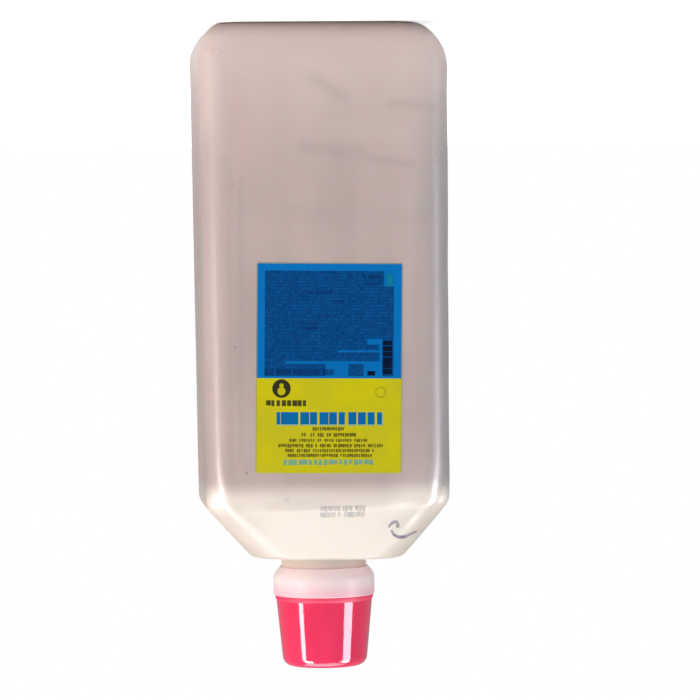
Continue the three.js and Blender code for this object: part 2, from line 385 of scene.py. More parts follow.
def base_rings():
    """The underside: a pinch line across a shallow recess, then the ring that the pack stands on."""
    edge = joined_ring(base_edge_ring(SLACK_SIDE, 0.0), base_edge_ring(FIRM_SIDE, 0.0))
    rings = []
    for share, recess in BASE_RECESS_STEPS:
        points = edge[0] * share
        pinch = PINCH_HEIGHT * np.exp(-((points[:, 1] / PINCH_WIDTH) ** 2))
        points[:, 2] = BASE_RECESS * recess - pinch * recess
        rings.append((points, edge[1], 0.0))
    return rings


def bottle_rings():
    """Rings of points from the middle of the base up to the neck's rim."""
    rings = base_rings()
    edge_steps = 18
    for k in range(edge_steps + 1):
        angle = math.pi / 2 * k / edge_steps
        rings.append(joined_ring(base_edge_ring(SLACK_SIDE, angle), base_edge_ring(FIRM_SIDE, angle)))
    low = rings[-1][0]
    slack_profile = shoulder_profile(SLACK_SIDE)
    firm_profile = shoulder_profile(FIRM_SIDE)
    shoulder = [
        joined_ring(shoulder_ring(slack_profile, i), shoulder_ring(firm_profile, i))
        for i in range(len(slack_profile))
    ]
    high = shoulder[0][0]
    wall_steps = 120
    for k in range(1, wall_steps):
        rings.append((between(low, high, k / wall_steps), rings[-1][1], 1.0))
    rings += shoulder
    top = rings[-1][0]
    directions = top[:, :2] / np.linalg.norm(top[:, :2], axis=1)[:, None]
    root_radius = NECK_RADIUS + NECK_ROOT_ROUND
    root = np.column_stack([directions * root_radius, np.full(len(top), SHOULDER_TOP)])
    for share in (0.2, 0.4, 0.6, 0.8, 1.0):
        rings.append((between(top, root, share), directions, 0.0))
    bead_low = COLLAR_START + BEAD_ABOVE_COLLAR_START
    bead = NECK_RADIUS + BEAD_PROJECTION
    neck = arc((root_radius, SHOULDER_TOP + NECK_ROOT_ROUND), NECK_ROOT_ROUND, 270, 180, 6)[1:]
    neck += [
        (NECK_RADIUS, between(SHOULDER_TOP, bead_low, 0.6)),
        (NECK_RADIUS, bead_low),
        (bead, bead_low + BEAD_SLOPE / 2),
        (bead, bead_low + BEAD_LENGTH - BEAD_SLOPE),
        (NECK_RADIUS, bead_low + BEAD_LENGTH),
        (NECK_RADIUS, NECK_RIM),
        (NECK_RADIUS * 0.5, NECK_RIM),
    ]
    for radius, height in neck:
        points = np.column_stack([directions * radius, np.full(len(top), height)])
        rings.append((points, directions, 0.0))
    return rings


def corner_cut(x, ny, z):
    """How far the panel's corners fall back where they meet the shoulder, in metres."""
    near = eased((abs(x) - SHOULDER_CORNER_START) / (24 * MM)) * eased(1.3 * abs(ny))
    level = math.exp(-(((z - FIRM_SIDE[3]) / SHOULDER_CORNER_REACH) ** 2))
    level *= eased((SHOULDER_TOP - z) / (12 * MM))
    return SHOULDER_CORNER_CUT * near * level


def build_bottle():
    """One closed skin from base to neck, with the soft wall's waves, creases and mould seam."""
    rings = bottle_rings()
    count = len(rings[0][0])
    vertices = []
    for points, normals, give in rings:
        for (x, y, z), (nx, ny) in zip(points, normals):
            push = 0.0
            if give > 0:
                seam = math.exp(-((y / SEAM_WIDTH) ** 2)) * SEAM_HEIGHT if abs(nx) > 0.9 else 0.0
                push = max(dent(x, y, z) - seam, 0.0) * give + corner_cut(x, ny, z)
            vertices.append((x - nx * push, y - ny * push, z))
    faces = []
    for level in range(len(rings) - 1):
        for i in range(count):
            n = (i + 1) % count
            a = level * count + i
            b = level * count + n
            faces.append((a, b, b + count, a + count))
    low_centre = len(vertices)
    vertices.append((0, 0, BASE_RECESS - PINCH_HEIGHT))
    high_centre = len(vertices)
    vertices.append((0, 0, NECK_RIM))
    top = (len(rings) - 1) * count
    for i in range(count):
        n = (i + 1) % count
        faces.append((low_centre, n, i))
        faces.append((high_centre, top + i, top + n))
    return make_piece("bottle_skin", vertices, faces, "bottle_body", ["bottle"])


bottle = build_bottle()
bottle_surface = BVHTree.FromPolygons(
    [v.co.copy() for v in bottle.data.vertices], [tuple(p.vertices) for p in bottle.data.polygons]
)


def on_front(x, z, lift):
    """The point of the bottle's front at (x, z), lifted off its surface."""
    hit, normal, _, _ = bottle_surface.ray_cast(Vector((x, -BODY_DEPTH, z)), Vector((0, 1, 0)))
    return hit + normal * lift


def under_pixel(pixel, lift=0.0):
    """The point of the bottle that the camera sees at a pixel, lifted off its surface."""
    hit, normal, _, _ = bottle_surface.ray_cast(CAMERA_EYE, sight_line(pixel))
    return hit + normal * lift


# Label

LABEL_THICKNESS = 0.12 * MM
LABEL_CORNER = 1.0 * MM
LABEL_TURN = math.radians(1.1)
LABEL_STEPS_ACROSS = 60
LABEL_STEPS_UP = 84

# Across the label to the right and down it, as its print is read with the neck below
LABEL_ACROSS = Vector((-math.cos(LABEL_TURN), 0, math.sin(LABEL_TURN)))
LABEL_DOWN = Vector((math.sin(LABEL_TURN), 0, math.cos(LABEL_TURN)))


def build_label():
    """A thin film that follows the panel it is stuck on, a little askew, with small corner rounds."""
    columns = LABEL_STEPS_ACROSS + 1
    rows = LABEL_STEPS_UP + 1
    inner = (LABEL_HALF[0] - LABEL_CORNER, LABEL_HALF[1] - LABEL_CORNER)
    spots = []
    for j in range(rows):
        for i in range(columns):
            across = LABEL_HALF[0] * (1 - 2 * i / LABEL_STEPS_ACROSS)
            down = LABEL_HALF[1] * (2 * j / LABEL_STEPS_UP - 1)
            over = (abs(across) - inner[0], abs(down) - inner[1])
            if min(over) > 0:
                squeeze = min(1.0, LABEL_CORNER / math.hypot(*over))
                across = math.copysign(inner[0] + over[0] * squeeze, across)
                down = math.copysign(inner[1] + over[1] * squeeze, down)
            place = LABEL_ACROSS * across + LABEL_DOWN * down
            spots.append((LABEL_CENTRE[0] + place.x, LABEL_CENTRE[1] + place.z))
    back = [on_front(x, z, 0.01 * MM) for x, z in spots]
    front = [on_front(x, z, LABEL_THICKNESS) for x, z in spots]
    shift = len(back)
    faces = []
    for j in range(rows - 1):
        for i in range(columns - 1):
            a = j * columns + i
            b = a + 1
            c = b + columns
            d = a + columns
            faces.append((d, c, b, a))
            faces.append((a + shift, b + shift, c + shift, d + shift))
    rim = list(range(columns))
    rim += [j * columns + columns - 1 for j in range(1, rows)]
    rim += [(rows - 1) * columns + i for i in range(columns - 2, -1, -1)]
    rim += [j * columns for j in range(rows - 2, 0, -1)]
    for k, a in enumerate(rim):
        b = rim[(k + 1) % len(rim)]
        faces.append((a, b, b + shift, a + shift))
    return make_piece("label_film", back + front, faces, "bottle_body", ["front_label"], sharp_deg=40)


label = build_label()


# Pen stroke on the shoulder

# Each stroke: pixels along it, then its half width at the start, middle and end
PEN_STROKES = (
    (
        ((388.5, 527.5), (391, 524), (394.5, 521.8), (397.6, 523), (397.8, 527.5)),
        (0.3 * MM, 0.7 * MM, 0.8 * MM),
    ),
    (
        ((391.5, 530), (393.6, 534.2), (399, 537), (405, 536.4), (411, 533.8), (417.5, 530.6)),
        (0.4 * MM, 0.75 * MM, 0.18 * MM),
    ),
)
PEN_LIFT = 0.04 * MM


def smooth_route(points, steps):
    """Pixels along a smooth curve through the given ones."""
    padded = [points[0], *points, points[-1]]
    route = []
    for i in range(1, len(padded) - 2):
        a, b, c, d = (np.array(p, float) for p in padded[i - 1:i + 3])
        for k in range(steps):
            t = k / steps
            route.append(0.5 * (2 * b + (c - a) * t + (2 * a - 5 * b + 4 * c - d) * t ** 2
                                + (3 * b - a - 3 * c + d) * t ** 3))
    route.append(np.array(points[-1], float))
    return route


def build_pen_stroke():
    """Two thin films of ink that follow the shoulder, each wide in its middle."""
    vertices = []
    faces = []
    per_pixel = PICTURE_WIDTH / PHOTO_PIXELS
    for points, (start_half, middle_half, end_half) in PEN_STROKES:
        route = smooth_route(points, 8)
        first = len(vertices)
        for k, here in enumerate(route):
            share = k / (len(route) - 1)
            ahead = route[min(k + 1, len(route) - 1)] - route[max(k - 1, 0)]
            aside = np.array([-ahead[1], ahead[0]]) / np.linalg.norm(ahead)
            end = start_half if share < 0.5 else end_half
            half = between(middle_half, end, abs(2 * share - 1) ** 2) / per_pixel
            for side in (-1, 1):
                vertices.append(under_pixel(here + aside * half * side, PEN_LIFT))
        for k in range(len(route) - 1):
            a = first + 2 * k
            faces.append((a, a + 1, a + 3, a + 2))
    return make_piece("pen_stroke", vertices, faces, "bottle_body")


pen_stroke = build_pen_stroke()


# Closure: collar, seal, valve and cap

FLANGE_THICKNESS = 1.0 * MM
FLANGE_RADIUS = 13.0 * MM
SPOUT_RADIUS = 11.3 * MM
SPOUT_BORE = 9.5 * MM
SEAL_BORE = 7.5 * MM
FIT_GAP = 0.3 * MM
UPSTAND_RADIUS = 20.33 * MM
UPSTAND_WALL = 1.4 * MM
UPSTAND_HEIGHT = 4.5 * MM
CHAMFER_WIDTH = 3.0 * MM
CHAMFER_RISE = 3.7 * MM
CATCH_LIP = 3.6 * MM
EDGE_ROUND = 0.6 * MM


def build_collar():
    """The snapped-on ring with its catch lip, deck, upstand and spout."""
    lip = NECK_RADIUS + FIT_GAP
    bore = NECK_RADIUS + BEAD_PROJECTION + FIT_GAP
    flange_top = DECK_UNDERSIDE + FLANGE_THICKNESS
    upstand_top = DECK_TOP + UPSTAND_HEIGHT
    profile = [
        (lip, COLLAR_START, 0.4),
        (COLLAR_RADIUS - CHAMFER_WIDTH, COLLAR_START, 1),
        (COLLAR_RADIUS, COLLAR_START + CHAMFER_RISE, 3),
        (COLLAR_RADIUS, DECK_TOP, 1),
        (UPSTAND_RADIUS, DECK_TOP),
        (UPSTAND_RADIUS, upstand_top, 0.7),
        (UPSTAND_RADIUS - UPSTAND_WALL, upstand_top, 0.5),
        (UPSTAND_RADIUS - UPSTAND_WALL, DECK_TOP, 0.8),
        (SPOUT_RADIUS, DECK_TOP, 0.8),
        (SPOUT_RADIUS, SPOUT_TOP, 0.8),
        (SPOUT_BORE, SPOUT_TOP, 0.6),
        (SPOUT_BORE, flange_top),
        (FLANGE_RADIUS + FIT_GAP, flange_top),
        (FLANGE_RADIUS + FIT_GAP, DECK_UNDERSIDE),
        (bore, DECK_UNDERSIDE),
        (bore, COLLAR_START + CATCH_LIP),
        (lip, COLLAR_START + CATCH_LIP - BEAD_SLOPE / 2),
    ]
    vertices, faces = turned_mesh(softened(profile, EDGE_ROUND))
    return make_piece("collar_ring", vertices, faces, "bottle_body", ["collar"], sharp_deg=50)


def build_seal():
    """A flat washer with slightly rounded edges."""
    profile = [
        (SEAL_BORE, NECK_RIM, 0.3),
        (NECK_RADIUS, NECK_RIM, 0.3),
        (NECK_RADIUS, DECK_UNDERSIDE, 0.3),
        (SEAL_BORE, DECK_UNDERSIDE, 0.3),
    ]
    vertices, faces = turned_mesh(softened(profile, EDGE_ROUND))
    return make_piece("seal_washer", vertices, faces, "bottle_body", ["neck_seal"], sharp_deg=50)


VALVE_WALL = 0.8 * MM
VALVE_RIM_ROUND = 0.7 * MM
VALVE_DISH = 1.6 * MM
SLIT_LENGTH = 8 * MM
SLIT_WIDTH = 0.3 * MM


def dish_curve(edge_radius, edge_height, steps=10):
    shares = [k / steps for k in range(steps + 1)]
    return [(edge_radius * s, edge_height - VALVE_DISH * (1 - s ** 2)) for s in shares]


def cut_away(piece, size, place, turn):
    """Cuts a thin box out of a piece."""
    bpy.ops.mesh.primitive_cube_add(size=1, location=place, rotation=(0, 0, turn))
    blade = bpy.context.object
    blade.scale = size
    cut = piece.modifiers.new("slit", "BOOLEAN")
    cut.object = blade
    cut.solver = "EXACT"
    bpy.context.view_layer.update()
    ready = piece.evaluated_get(bpy.context.evaluated_depsgraph_get())
    mesh = bpy.data.meshes.new_from_object(ready)
    piece.modifiers.clear()
    piece.data = mesh
    bpy.data.objects.remove(blade)


def build_valve():
    """One soft moulding: clamped flange, sleeve, and a head dished inwards with a cross slit."""
    sleeve = SPOUT_BORE - FIT_GAP
    flange_top = DECK_UNDERSIDE + FLANGE_THICKNESS
    head_underside = VALVE_TOP - VALVE_WALL
    edge = sleeve - VALVE_RIM_ROUND
    profile = dish_curve(edge - VALVE_WALL, head_underside)
    profile += [
        (sleeve - VALVE_WALL, head_underside - VALVE_RIM_ROUND),
        (sleeve - VALVE_WALL, DECK_UNDERSIDE),
        (FLANGE_RADIUS, DECK_UNDERSIDE),
        (FLANGE_RADIUS, flange_top),
        (sleeve, flange_top),
    ]
    profile += arc((edge, VALVE_TOP - VALVE_RIM_ROUND), VALVE_RIM_ROUND, 0, 70, 6)
    profile += dish_curve(edge, VALVE_TOP)[::-1]
    vertices, faces = turned_mesh(profile, 96)
    piece = make_piece("valve_moulding", vertices, faces, "bottle_body", ["outlet_valve"])
    for turn in (0, math.pi / 2):
        blade = (SLIT_LENGTH, SLIT_WIDTH, 2 * (VALVE_WALL + VALVE_DISH))
        cut_away(piece, blade, (0, 0, VALVE_TOP - VALVE_DISH), turn)
    piece.data.set_sharp_from_angle(angle=math.radians(40))
    return piece


CAP_RIM_HEIGHT = 2.0 * MM
CAP_RIM_STEP = 0.45 * MM
CAP_TAPER = 2.6 * MM
CAP_END_ROUND = 4.6 * MM
CAP_WALL = 1.4 * MM
CAP_ROOF = 1.5 * MM
CAP_INNER_ROUND = 3.2 * MM
CAP_BORE = 20.63 * MM
CAP_SEAT_HEIGHT = 5.3 * MM
GATE_RADIUS = 1.5 * MM
GATE_DEPTH = 0.25 * MM


def build_cap():
    """The glossy tapered cover, hollow, with a small rim at the deck and a moulding gate in its end."""
    wall = CAP_RIM_RADIUS - CAP_RIM_STEP
    end_radius = wall - CAP_TAPER
    rim_top = DECK_TOP + CAP_RIM_HEIGHT
    lean = math.degrees(math.atan2(CAP_TAPER, CAP_END - CAP_END_ROUND - rim_top))
    outside = arc((end_radius - CAP_END_ROUND, CAP_END - CAP_END_ROUND), CAP_END_ROUND, lean, 90, 14)
    wall_steps = 12
    side = [
        (between(wall, outside[0][0], k / wall_steps), between(rim_top, outside[0][1], k / wall_steps))
        for k in range(1, wall_steps)
    ]
    gate = [
        (GATE_RADIUS * 2.5, CAP_END),
        (GATE_RADIUS + GATE_DEPTH, CAP_END),
        (GATE_RADIUS, CAP_END - GATE_DEPTH),
        (0, CAP_END - GATE_DEPTH),
    ]
    roof = CAP_END - CAP_ROOF
    inner_radius = end_radius - CAP_WALL
    inside = [(0, roof)]
    inside += arc((inner_radius - CAP_INNER_ROUND, roof - CAP_INNER_ROUND), CAP_INNER_ROUND, 90, 0, 8)
    inside += [
        (CAP_BORE, DECK_TOP + CAP_SEAT_HEIGHT, 0.5),
        (CAP_BORE, DECK_TOP, 0.5),
        (CAP_RIM_RADIUS, DECK_TOP, 0.6),
        (CAP_RIM_RADIUS, rim_top - CAP_RIM_STEP, 0.6),
        (wall, rim_top, 0.6),
    ]
    vertices, faces = turned_mesh(softened(inside + side + outside + gate, EDGE_ROUND))
    return make_piece("cap_cover", vertices, faces, "cap_body", ["cap"], sharp_deg=50)


collar = build_collar()
seal = build_seal()
valve = build_valve()
cap = build_cap()


# Node helpers

def add_node(tree, kind, **settings):
    node = tree.nodes.new("ShaderNode" + kind)
    for name, value in settings.items():
        setattr(node, name, value)
    return node


def feed(tree, value, socket):
    """Links a socket, or sets a plain value."""
    if isinstance(value, bpy.types.NodeSocket):
        tree.links.new(value, socket)
    elif hasattr(value, "__len__") and len(value) == 3 and socket.type == "RGBA":
        socket.default_value = (*value, 1)
    else:
        socket.default_value = value


def calc(tree, operation, *values, clamp=False):
    node = add_node(tree, "Math", operation=operation, use_clamp=clamp)
    for value, socket in zip(values, node.inputs):
        feed(tree, value, socket)
    return node.outputs[0]


def times(tree, a, b):
    return calc(tree, "MULTIPLY", a, b)


def vector_calc(tree, operation, a, b, output="Vector"):
    node = add_node(tree, "VectorMath", operation=operation)
    feed(tree, a, node.inputs[0])
    feed(tree, b, node.inputs[1])
    return node.outputs[output]


def ramp(tree, value, start, end, low=0.0, high=1.0):
    node = add_node(tree, "MapRange", interpolation_type="SMOOTHSTEP")
    for socket, given in zip(node.inputs, (value, start, end, low, high)):
        feed(tree, given, socket)
    return node.outputs["Result"]


def paint(tree, share, under, over):
    node = add_node(tree, "Mix", data_type="RGBA")
    feed(tree, share, node.inputs["Factor"])
    feed(tree, under, node.inputs["A"])
    feed(tree, over, node.inputs["B"])
    return node.outputs["Result"]


def grain(tree, place, scale, detail=2.0):
    node = add_node(tree, "TexNoise")
    feed(tree, place, node.inputs["Vector"])
    node.inputs["Scale"].default_value = scale
    node.inputs["Detail"].default_value = detail
    return node.outputs["Fac"]


def join(tree, x, y, z=0.0):
    """A vector from its parts. Made after them, so that Cycles frees its memory in good order."""
    node = add_node(tree, "CombineXYZ")
    for value, socket in zip((x, y, z), node.inputs):
        feed(tree, value, socket)
    return node.outputs[0]


def object_place(tree):
    return add_node(tree, "TexCoord").outputs["Object"]


def axes_of(tree, place):
    """The X, Y and Z sockets of a place."""
    parts = add_node(tree, "SeparateXYZ")
    feed(tree, place, parts.inputs[0])
    return parts.outputs


def start_group(name, inputs, outputs):
    """A shader node group with named sockets; returns the tree, its inputs and its output node."""
    tree = bpy.data.node_groups.new(name, "ShaderNodeTree")
    for socket, kind in inputs:
        tree.interface.new_socket(socket, in_out="INPUT", socket_type="NodeSocket" + kind)
    for socket, kind in outputs:
        tree.interface.new_socket(socket, in_out="OUTPUT", socket_type="NodeSocket" + kind)
    given = tree.nodes.new("NodeGroupInput").outputs
    return tree, given, tree.nodes.new("NodeGroupOutput")


def use(tree, group, output, **values):
    """Places a group in a material with its own values and returns one of its outputs."""
    node = add_node(tree, "Group", node_tree=group)
    for name, value in values.items():
        feed(tree, value, node.inputs[name.replace("_", " ")])
    return node.outputs[output]


# Shared effects

def make_print_place():
    """Place on a print's own plane, in millimetres across and down from its centre."""
    sockets = [("Centre", "Vector"), ("Across", "Vector"), ("Down", "Vector")]
    tree, given, result = start_group("print place", sockets, [("Place", "Vector")])
    offset = vector_calc(tree, "SUBTRACT", object_place(tree), given["Centre"])
    across = vector_calc(tree, "DOT_PRODUCT", offset, given["Across"], "Value")
    down = vector_calc(tree, "DOT_PRODUCT", offset, given["Down"], "Value")
    place = join(tree, calc(tree, "DIVIDE", across, MM), calc(tree, "DIVIDE", down, MM))
    feed(tree, place, result.inputs["Place"])
    return tree


FIELD_SOCKETS = [("Place", "Vector")] + [(name, "Float") for name in ("Left", "Right", "Top", "Bottom")]


def make_printed_patch():
    """A plain printed rectangle."""
    tree, given, result = start_group("printed patch", FIELD_SOCKETS, [("Mask", "Float")])
    axes = axes_of(tree, given["Place"])
    mask = 1.0
    for value, low, high in (("X", "Left", "Right"), ("Y", "Top", "Bottom")):
        mask = times(tree, mask, calc(tree, "GREATER_THAN", axes[value], given[low]))
        mask = times(tree, mask, calc(tree, "LESS_THAN", axes[value], given[high]))
    feed(tree, mask, result.inputs["Mask"])
    return tree


def make_printed_rows():
    """A field of print as rows of broken bars, with gaps like those between words and no letters."""
    more = [(name, "Float") for name in ("Rows", "Row share", "Pitch", "Bar share", "Gaps", "Seed")]
    sockets = FIELD_SOCKETS + more
    tree, given, result = start_group("printed rows", sockets, [("Mask", "Float")])
    axes = axes_of(tree, given["Place"])
    across, down = axes["X"], axes["Y"]
    row_place = add_node(tree, "MapRange", clamp=False)
    for socket, value in zip(row_place.inputs, (down, given["Top"], given["Bottom"], 0.0, given["Rows"])):
        feed(tree, value, socket)
    row = calc(tree, "FLOOR", row_place.outputs["Result"])
    in_row = calc(tree, "FRACT", row_place.outputs["Result"])
    step = calc(tree, "DIVIDE", across, given["Pitch"])
    key = join(tree, calc(tree, "FLOOR", step), row, given["Seed"])
    chance = add_node(tree, "TexWhiteNoise", noise_dimensions="3D")
    feed(tree, key, chance.inputs["Vector"])
    luck = add_node(tree, "SeparateColor")
    feed(tree, chance.outputs["Color"], luck.inputs[0])
    width = times(tree, given["Bar share"], calc(tree, "MULTIPLY_ADD", luck.outputs[0], 0.45, 0.6))
    bar = calc(tree, "LESS_THAN", calc(tree, "FRACT", step), width)
    tall = times(tree, given["Row share"], calc(tree, "MULTIPLY_ADD", luck.outputs[1], 0.3, 0.75))
    inked = calc(tree, "LESS_THAN", in_row, tall)
    kept = calc(tree, "GREATER_THAN", luck.outputs[2], given["Gaps"])
    mask = times(tree, times(tree, bar, inked), kept)
    field = add_node(tree, "Group", node_tree=PRINTED_PATCH)
    for name, kind in FIELD_SOCKETS:
        feed(tree, given[name], field.inputs[name])
    feed(tree, times(tree, mask, field.outputs["Mask"]), result.inputs["Mask"])
    return tree


def make_round_mark():
    """A round spot with a soft edge: a speck, a dimple or a printed disc."""
    sockets = [("Place", "Vector"), ("Centre", "Vector"), ("Radius", "Float"), ("Softness", "Float")]
    tree, given, result = start_group("round mark", sockets, [("Mask", "Float")])
    gap = vector_calc(tree, "DISTANCE", given["Place"], given["Centre"], "Value")
    outer = calc(tree, "ADD", given["Radius"], given["Softness"])
    feed(tree, ramp(tree, gap, outer, given["Radius"]), result.inputs["Mask"])
    return tree


def make_smear():
    """A soft-edged streak between two points."""
    sockets = [("Place", "Vector"), ("Start", "Vector"), ("End", "Vector"), ("Width", "Float")]
    tree, given, result = start_group("smear", sockets, [("Mask", "Float")])
    along = vector_calc(tree, "SUBTRACT", given["End"], given["Start"])
    offset = vector_calc(tree, "SUBTRACT", given["Place"], given["Start"])
    reach = vector_calc(tree, "DOT_PRODUCT", along, along, "Value")
    share = calc(tree, "DIVIDE", vector_calc(tree, "DOT_PRODUCT", offset, along, "Value"), reach, clamp=True)
    nearest = vector_calc(tree, "MULTIPLY", along, join(tree, share, share, share))
    gap = vector_calc(tree, "DISTANCE", offset, nearest, "Value")
    feed(tree, ramp(tree, gap, given["Width"], 0.0), result.inputs["Mask"])
    return tree


def make_mottle():
    """A colour with soft lighter and darker clouds, a shade warmer or cooler."""
    sockets = [("Color", "Color"), ("Shade", "Color"), ("Scale", "Float"), ("Stretch", "Float")]
    tree, given, result = start_group("mottle", sockets, [("Color", "Color")])
    place = vector_calc(tree, "MULTIPLY", object_place(tree), join(tree, 1.0, 1.0, given["Stretch"]))
    cloud = add_node(tree, "TexNoise")
    feed(tree, place, cloud.inputs["Vector"])
    feed(tree, given["Scale"], cloud.inputs["Scale"])
    share = ramp(tree, cloud.outputs["Fac"], 0.3, 0.7)
    feed(tree, paint(tree, share, given["Color"], given["Shade"]), result.inputs["Color"])
    return tree


def make_moulded_skin():
    """Height of a moulded surface: fine lines drawn along the pack and a faint pebbling."""
    sockets = [("Lines", "Float"), ("Pebbles", "Float")]
    tree, given, result = start_group("moulded skin", sockets, [("Height", "Float"), ("Wear", "Float")])
    place = object_place(tree)
    drawn = grain(tree, vector_calc(tree, "MULTIPLY", place, (1.0, 1.0, 0.06)), 900.0)
    pebbles = grain(tree, place, 2600.0)
    height = times(tree, drawn, given["Lines"])
    height = calc(tree, "MULTIPLY_ADD", pebbles, given["Pebbles"], height)
    feed(tree, height, result.inputs["Height"])
    feed(tree, ramp(tree, grain(tree, place, 70.0, 6.0), 0.35, 0.75), result.inputs["Wear"])
    return tree


PRINT_PLACE = make_print_place()
PRINTED_PATCH = make_printed_patch()
PRINTED_ROWS = make_printed_rows()
ROUND_MARK = make_round_mark()
SMEAR = make_smear()
MOTTLE = make_mottle()
MOULDED_SKIN = make_moulded_skin()


# Materials

def mottled(tree, color, shade, scale, stretch=1.0):
    return use(tree, MOTTLE, "Color", Color=color, Shade=shade, Scale=scale, Stretch=stretch)


def new_material(name):
    material = bpy.data.materials.new(name)
    material.use_nodes = True
    return material, material.node_tree, material.node_tree.nodes["Principled BSDF"]


def set_finish(shader, **numbers):
    """Numbers that are the same all over a surface, on the shader's own sockets."""
    for name, value in numbers.items():
        shader.inputs[name.replace("_", " ")].default_value = value


def add_skin(tree, shader, lines, pebbles, rough, worn, depth=0.1 * MM, matt=0.0):
    """Bump and roughness of a moulded surface, with matt added to the roughness."""
    height = use(tree, MOULDED_SKIN, "Height", Lines=lines, Pebbles=pebbles)
    bump = add_node(tree, "Bump")
    bump.inputs["Distance"].default_value = depth
    feed(tree, height, bump.inputs["Height"])
    feed(tree, bump.outputs[0], shader.inputs["Normal"])
    wear = use(tree, MOULDED_SKIN, "Wear", Lines=lines, Pebbles=pebbles)
    roughness = ramp(tree, wear, 0.0, 1.0, rough, worn)
    feed(tree, calc(tree, "ADD", roughness, matt), shader.inputs["Roughness"])


# Dark specks on the soft bottle: pixel, radius, strength
SPECKS = (
    ((232, 184), 0.42 * MM, 0.8),
    ((235, 347), 0.42 * MM, 0.75),
    ((246.5, 473.5), 0.6 * MM, 0.65),
    ((437, 154), 0.45 * MM, 0.55),
    ((437, 162), 0.45 * MM, 0.4),
    ((198, 220), 0.35 * MM, 0.3),
    ((241, 308), 0.35 * MM, 0.3),
    ((443, 484), 0.8 * MM, 0.35),
    ((285, 499.5), 0.7 * MM, 0.2),
    ((288, 499.5), 0.6 * MM, 0.2),
)
SPECK_COLOR = (0.10, 0.075, 0.085)
# Streaks on the soft wall: the dark ones are painted shade along its creases and dents, the pink and pale
# ones vary its tone. Start and end pixel, half width, colour, strength
CREASE_SHADE = (0.37, 0.30, 0.28)
PINKISH = (0.64, 0.42, 0.40)
PALE = (0.66, 0.54, 0.50)
SMEARS = (
    ((303, 146), (362, 150), 5 * MM, CREASE_SHADE, 0.28),
    ((372, 158), (412, 163), 4 * MM, CREASE_SHADE, 0.26),
    ((312, 76), (345, 97), 5 * MM, CREASE_SHADE, 0.22),
    ((390, 103), (432, 107), 4 * MM, CREASE_SHADE, 0.22),
    ((238, 85), (246, 158), 9 * MM, PINKISH, 0.3),
    ((330, 128), (400, 132), 9 * MM, PALE, 0.3),
    ((205, 60), (222, 150), 7 * MM, PALE, 0.35),
    ((416, 280), (420, 420), 6 * MM, CREASE_SHADE, 0.16),
    ((240, 180), (241, 460), 2.5 * MM, CREASE_SHADE, 0.2),
    ((290, 212), (420, 218), 7 * MM, CREASE_SHADE, 0.12),
)
DIMPLE_PIXEL = (216, 52)
DIMPLE_RADIUS = 1.5 * MM
DIMPLE_RIM = 0.5 * MM
CODE_PIXEL = (342.5, 512)
CODE_INK = (0.30, 0.27, 0.27)

FILLED_COLOR = (0.478, 0.374, 0.350)
FILLED_SHADE = (0.558, 0.437, 0.412)
EMPTY_COLOR = (0.68, 0.595, 0.52)
LIT_COLOR = (0.85, 0.74, 0.67)
SHADED_SIDE_COLOR = (0.385, 0.36, 0.36)
NECK_COLOR = (0.80, 0.61, 0.55)
BOUNCE_LIGHT_COLOR = (0.72, 0.58, 0.545)
FILL_START = 211 * MM
FILL_END = 221 * MM
LIT_START = 220 * MM
LIT_END = 229 * MM
BOUNCE_BAND_START = 80 * MM
BOUNCE_BAND_END = -10 * MM
SHADED_SIDE_START = -36 * MM
SHADED_SIDE_END = -55 * MM
SHADED_SIDE_BACK = -16 * MM
SHADED_SIDE_FRONT = -38 * MM


BOTTLE_COAT = 0.45
# The skin is stretched tighter and shinier where the wall turns into the shoulder
TIGHT_COAT = 1.0
TIGHT_START = 209 * MM
TIGHT_END = 221 * MM
TIGHT_FADE = 4 * MM


